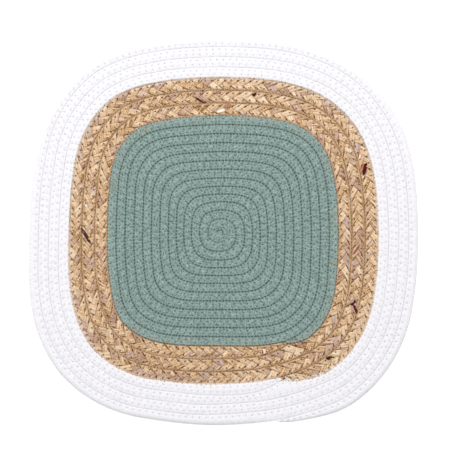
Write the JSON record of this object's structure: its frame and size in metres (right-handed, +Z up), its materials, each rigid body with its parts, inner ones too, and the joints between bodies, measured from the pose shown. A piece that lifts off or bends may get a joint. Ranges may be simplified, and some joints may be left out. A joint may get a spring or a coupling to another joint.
{
  "type": "coiled fabric placemat",
  "caption": "Flat rounded-square placemat: a sage cotton rope coil ringed by a plaited husk band, with a white cotton rope border.",
  "frame": {"origin": "middle of the mat's outline, on its underside", "axes": "+Z up out of the mat's face, +X to its right and +Y to its far side, with the ropes' ends at the near right corner"},
  "size_m": [0.3786, 0.3767, 0.006],
  "materials": {
    "sage_cotton": "matt braided cotton rope, melange sage green",
    "dried_husk": "dried husk strips, faint satin, straw to mauve brown",
    "white_cotton": "matt braided cotton rope, white"
  },
  "bodies": {
    "root": {"sage_rope_coil": "sage_cotton", "husk_plait_band": "dried_husk", "white_rope_border": "white_cotton"}
  },
  "joints": []
}
